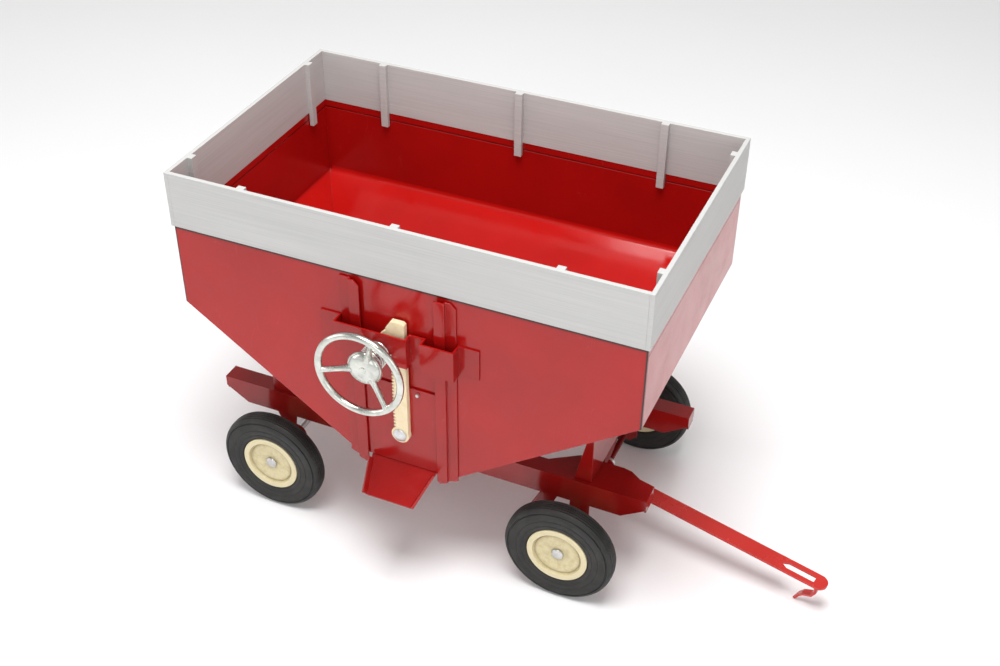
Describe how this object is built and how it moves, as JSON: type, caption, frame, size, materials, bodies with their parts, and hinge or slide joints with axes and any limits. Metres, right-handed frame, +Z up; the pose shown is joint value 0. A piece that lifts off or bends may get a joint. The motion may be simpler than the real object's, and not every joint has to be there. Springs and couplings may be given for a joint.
{
  "type": "gravity wagon",
  "caption": "Toy-scale gravity wagon: sloped sheet hopper with lift-off sideboards, side gate raised by a handwheel and rack, rolling gear and hooked tongue.",
  "frame": {"origin": "middle of the footprint on the ground: halfway between the rear of the rails and the tip of the tongue, and between the handwheel and the far sideboard", "axes": "+X forward to the tongue, +Y away from the gate side, +Z up"},
  "size_m": [0.2862, 0.1496, 0.1742],
  "materials": {
    "hopper_paint": "gloss red enamel",
    "fitting_paint": "gloss red enamel",
    "gear_paint": "semi-gloss dark red enamel",
    "drive_plastic": "moulded cream",
    "rim_plastic": "moulded cream",
    "tyre_rubber": "moulded black",
    "sideboard_plastic": "layered grey",
    "handwheel_chrome": "bright plated",
    "bright_steel": "bare"
  },
  "bodies": {
    "wagon": {"near_panel": "hopper_paint", "far_wall": "hopper_paint", "back_floor": "hopper_paint", "left_end_wall": "hopper_paint", "left_floor": "hopper_paint", "right_end_wall": "hopper_paint", "right_floor": "hopper_paint", "left_guide": "fitting_paint", "right_guide": "fitting_paint", "wheel_bracket": "fitting_paint", "spout": "fitting_paint", "handwheel_spring": "bright_steel", "near_rail": "gear_paint", "far_rail": "gear_paint", "front_bolster": "gear_paint", "rear_bolster": "gear_paint", "bolster_apron": "gear_paint", "front_near_hanger": "gear_paint", "front_far_hanger": "gear_paint", "rear_near_hanger": "gear_paint", "rear_far_hanger": "gear_paint", "front_axle": "bright_steel", "rear_axle": "bright_steel", "axle_collars": "bright_steel"},
    "gate": {"gate_plate": "fitting_paint", "gate_rack": "drive_plastic", "rack_rivet": "bright_steel", "gate_stop_stud": "bright_steel"},
    "handwheel_set": {"handwheel": "handwheel_chrome", "handwheel_shaft": "bright_steel", "pinion": "drive_plastic"},
    "extension": {"near_sideboard": "sideboard_plastic", "far_sideboard": "sideboard_plastic", "left_sideboard": "sideboard_plastic", "right_sideboard": "sideboard_plastic"},
    "front_near_wheel": {"front_near_rim": "rim_plastic", "front_near_tyre": "tyre_rubber"},
    "front_far_wheel": {"front_far_rim": "rim_plastic", "front_far_tyre": "tyre_rubber"},
    "rear_near_wheel": {"rear_near_rim": "rim_plastic", "rear_near_tyre": "tyre_rubber"},
    "rear_far_wheel": {"rear_far_rim": "rim_plastic", "rear_far_tyre": "tyre_rubber"},
    "clevis": {"tongue_clevis": "gear_paint", "tongue_rivet": "gear_paint"},
    "tongue_bar": {"tongue": "gear_paint"}
  },
  "joints": [
    {"name": "handwheel_turn", "type": "hinge", "parent": "wagon", "child": "handwheel_set", "pos_m": [-0.04024, -0.0733, 0.1197], "axis": [0, -1, 0], "range_deg": [0, 244.2]},
    {"name": "gate_slide", "type": "slide", "parent": "wagon", "child": "gate", "axis": [0, 0, 1], "range_m": [0, 0.015]},
    {"name": "extension_lift", "type": "slide", "parent": "wagon", "child": "extension", "axis": [0, 0, 1], "range_m": [0, 0.03]},
    {"name": "tongue_pitch", "type": "hinge", "parent": "wagon", "child": "clevis", "pos_m": [0.03403, 0.0121, 0.02495], "axis": [0, -1, 0], "range_deg": [0, 45]},
    {"name": "tongue_swing", "type": "hinge", "parent": "clevis", "child": "tongue_bar", "pos_m": [0.04398, 0.0121, 0.02403], "axis": [0.0924, 0, 0.9957], "range_deg": [-15.1, 34.9]},
    {"name": "front_near_spin", "type": "hinge", "parent": "wagon", "child": "front_near_wheel", "pos_m": [0.03403, -0.0407, 0.02495], "axis": [0, 1, 0], "continuous": true},
    {"name": "front_far_spin", "type": "hinge", "parent": "wagon", "child": "front_far_wheel", "pos_m": [0.03403, 0.0649, 0.02495], "axis": [0, 1, 0], "continuous": true},
    {"name": "rear_near_spin", "type": "hinge", "parent": "wagon", "child": "rear_near_wheel", "pos_m": [-0.10737, -0.0407, 0.02495], "axis": [0, 1, 0], "continuous": true},
    {"name": "rear_far_spin", "type": "hinge", "parent": "wagon", "child": "rear_far_wheel", "pos_m": [-0.10737, 0.0649, 0.02495], "axis": [0, 1, 0], "continuous": true}
  ],
  "couplings": [
    {"joint": "gate_slide", "follows": "handwheel_turn", "m_per_rad": 0.0035173}
  ]
}
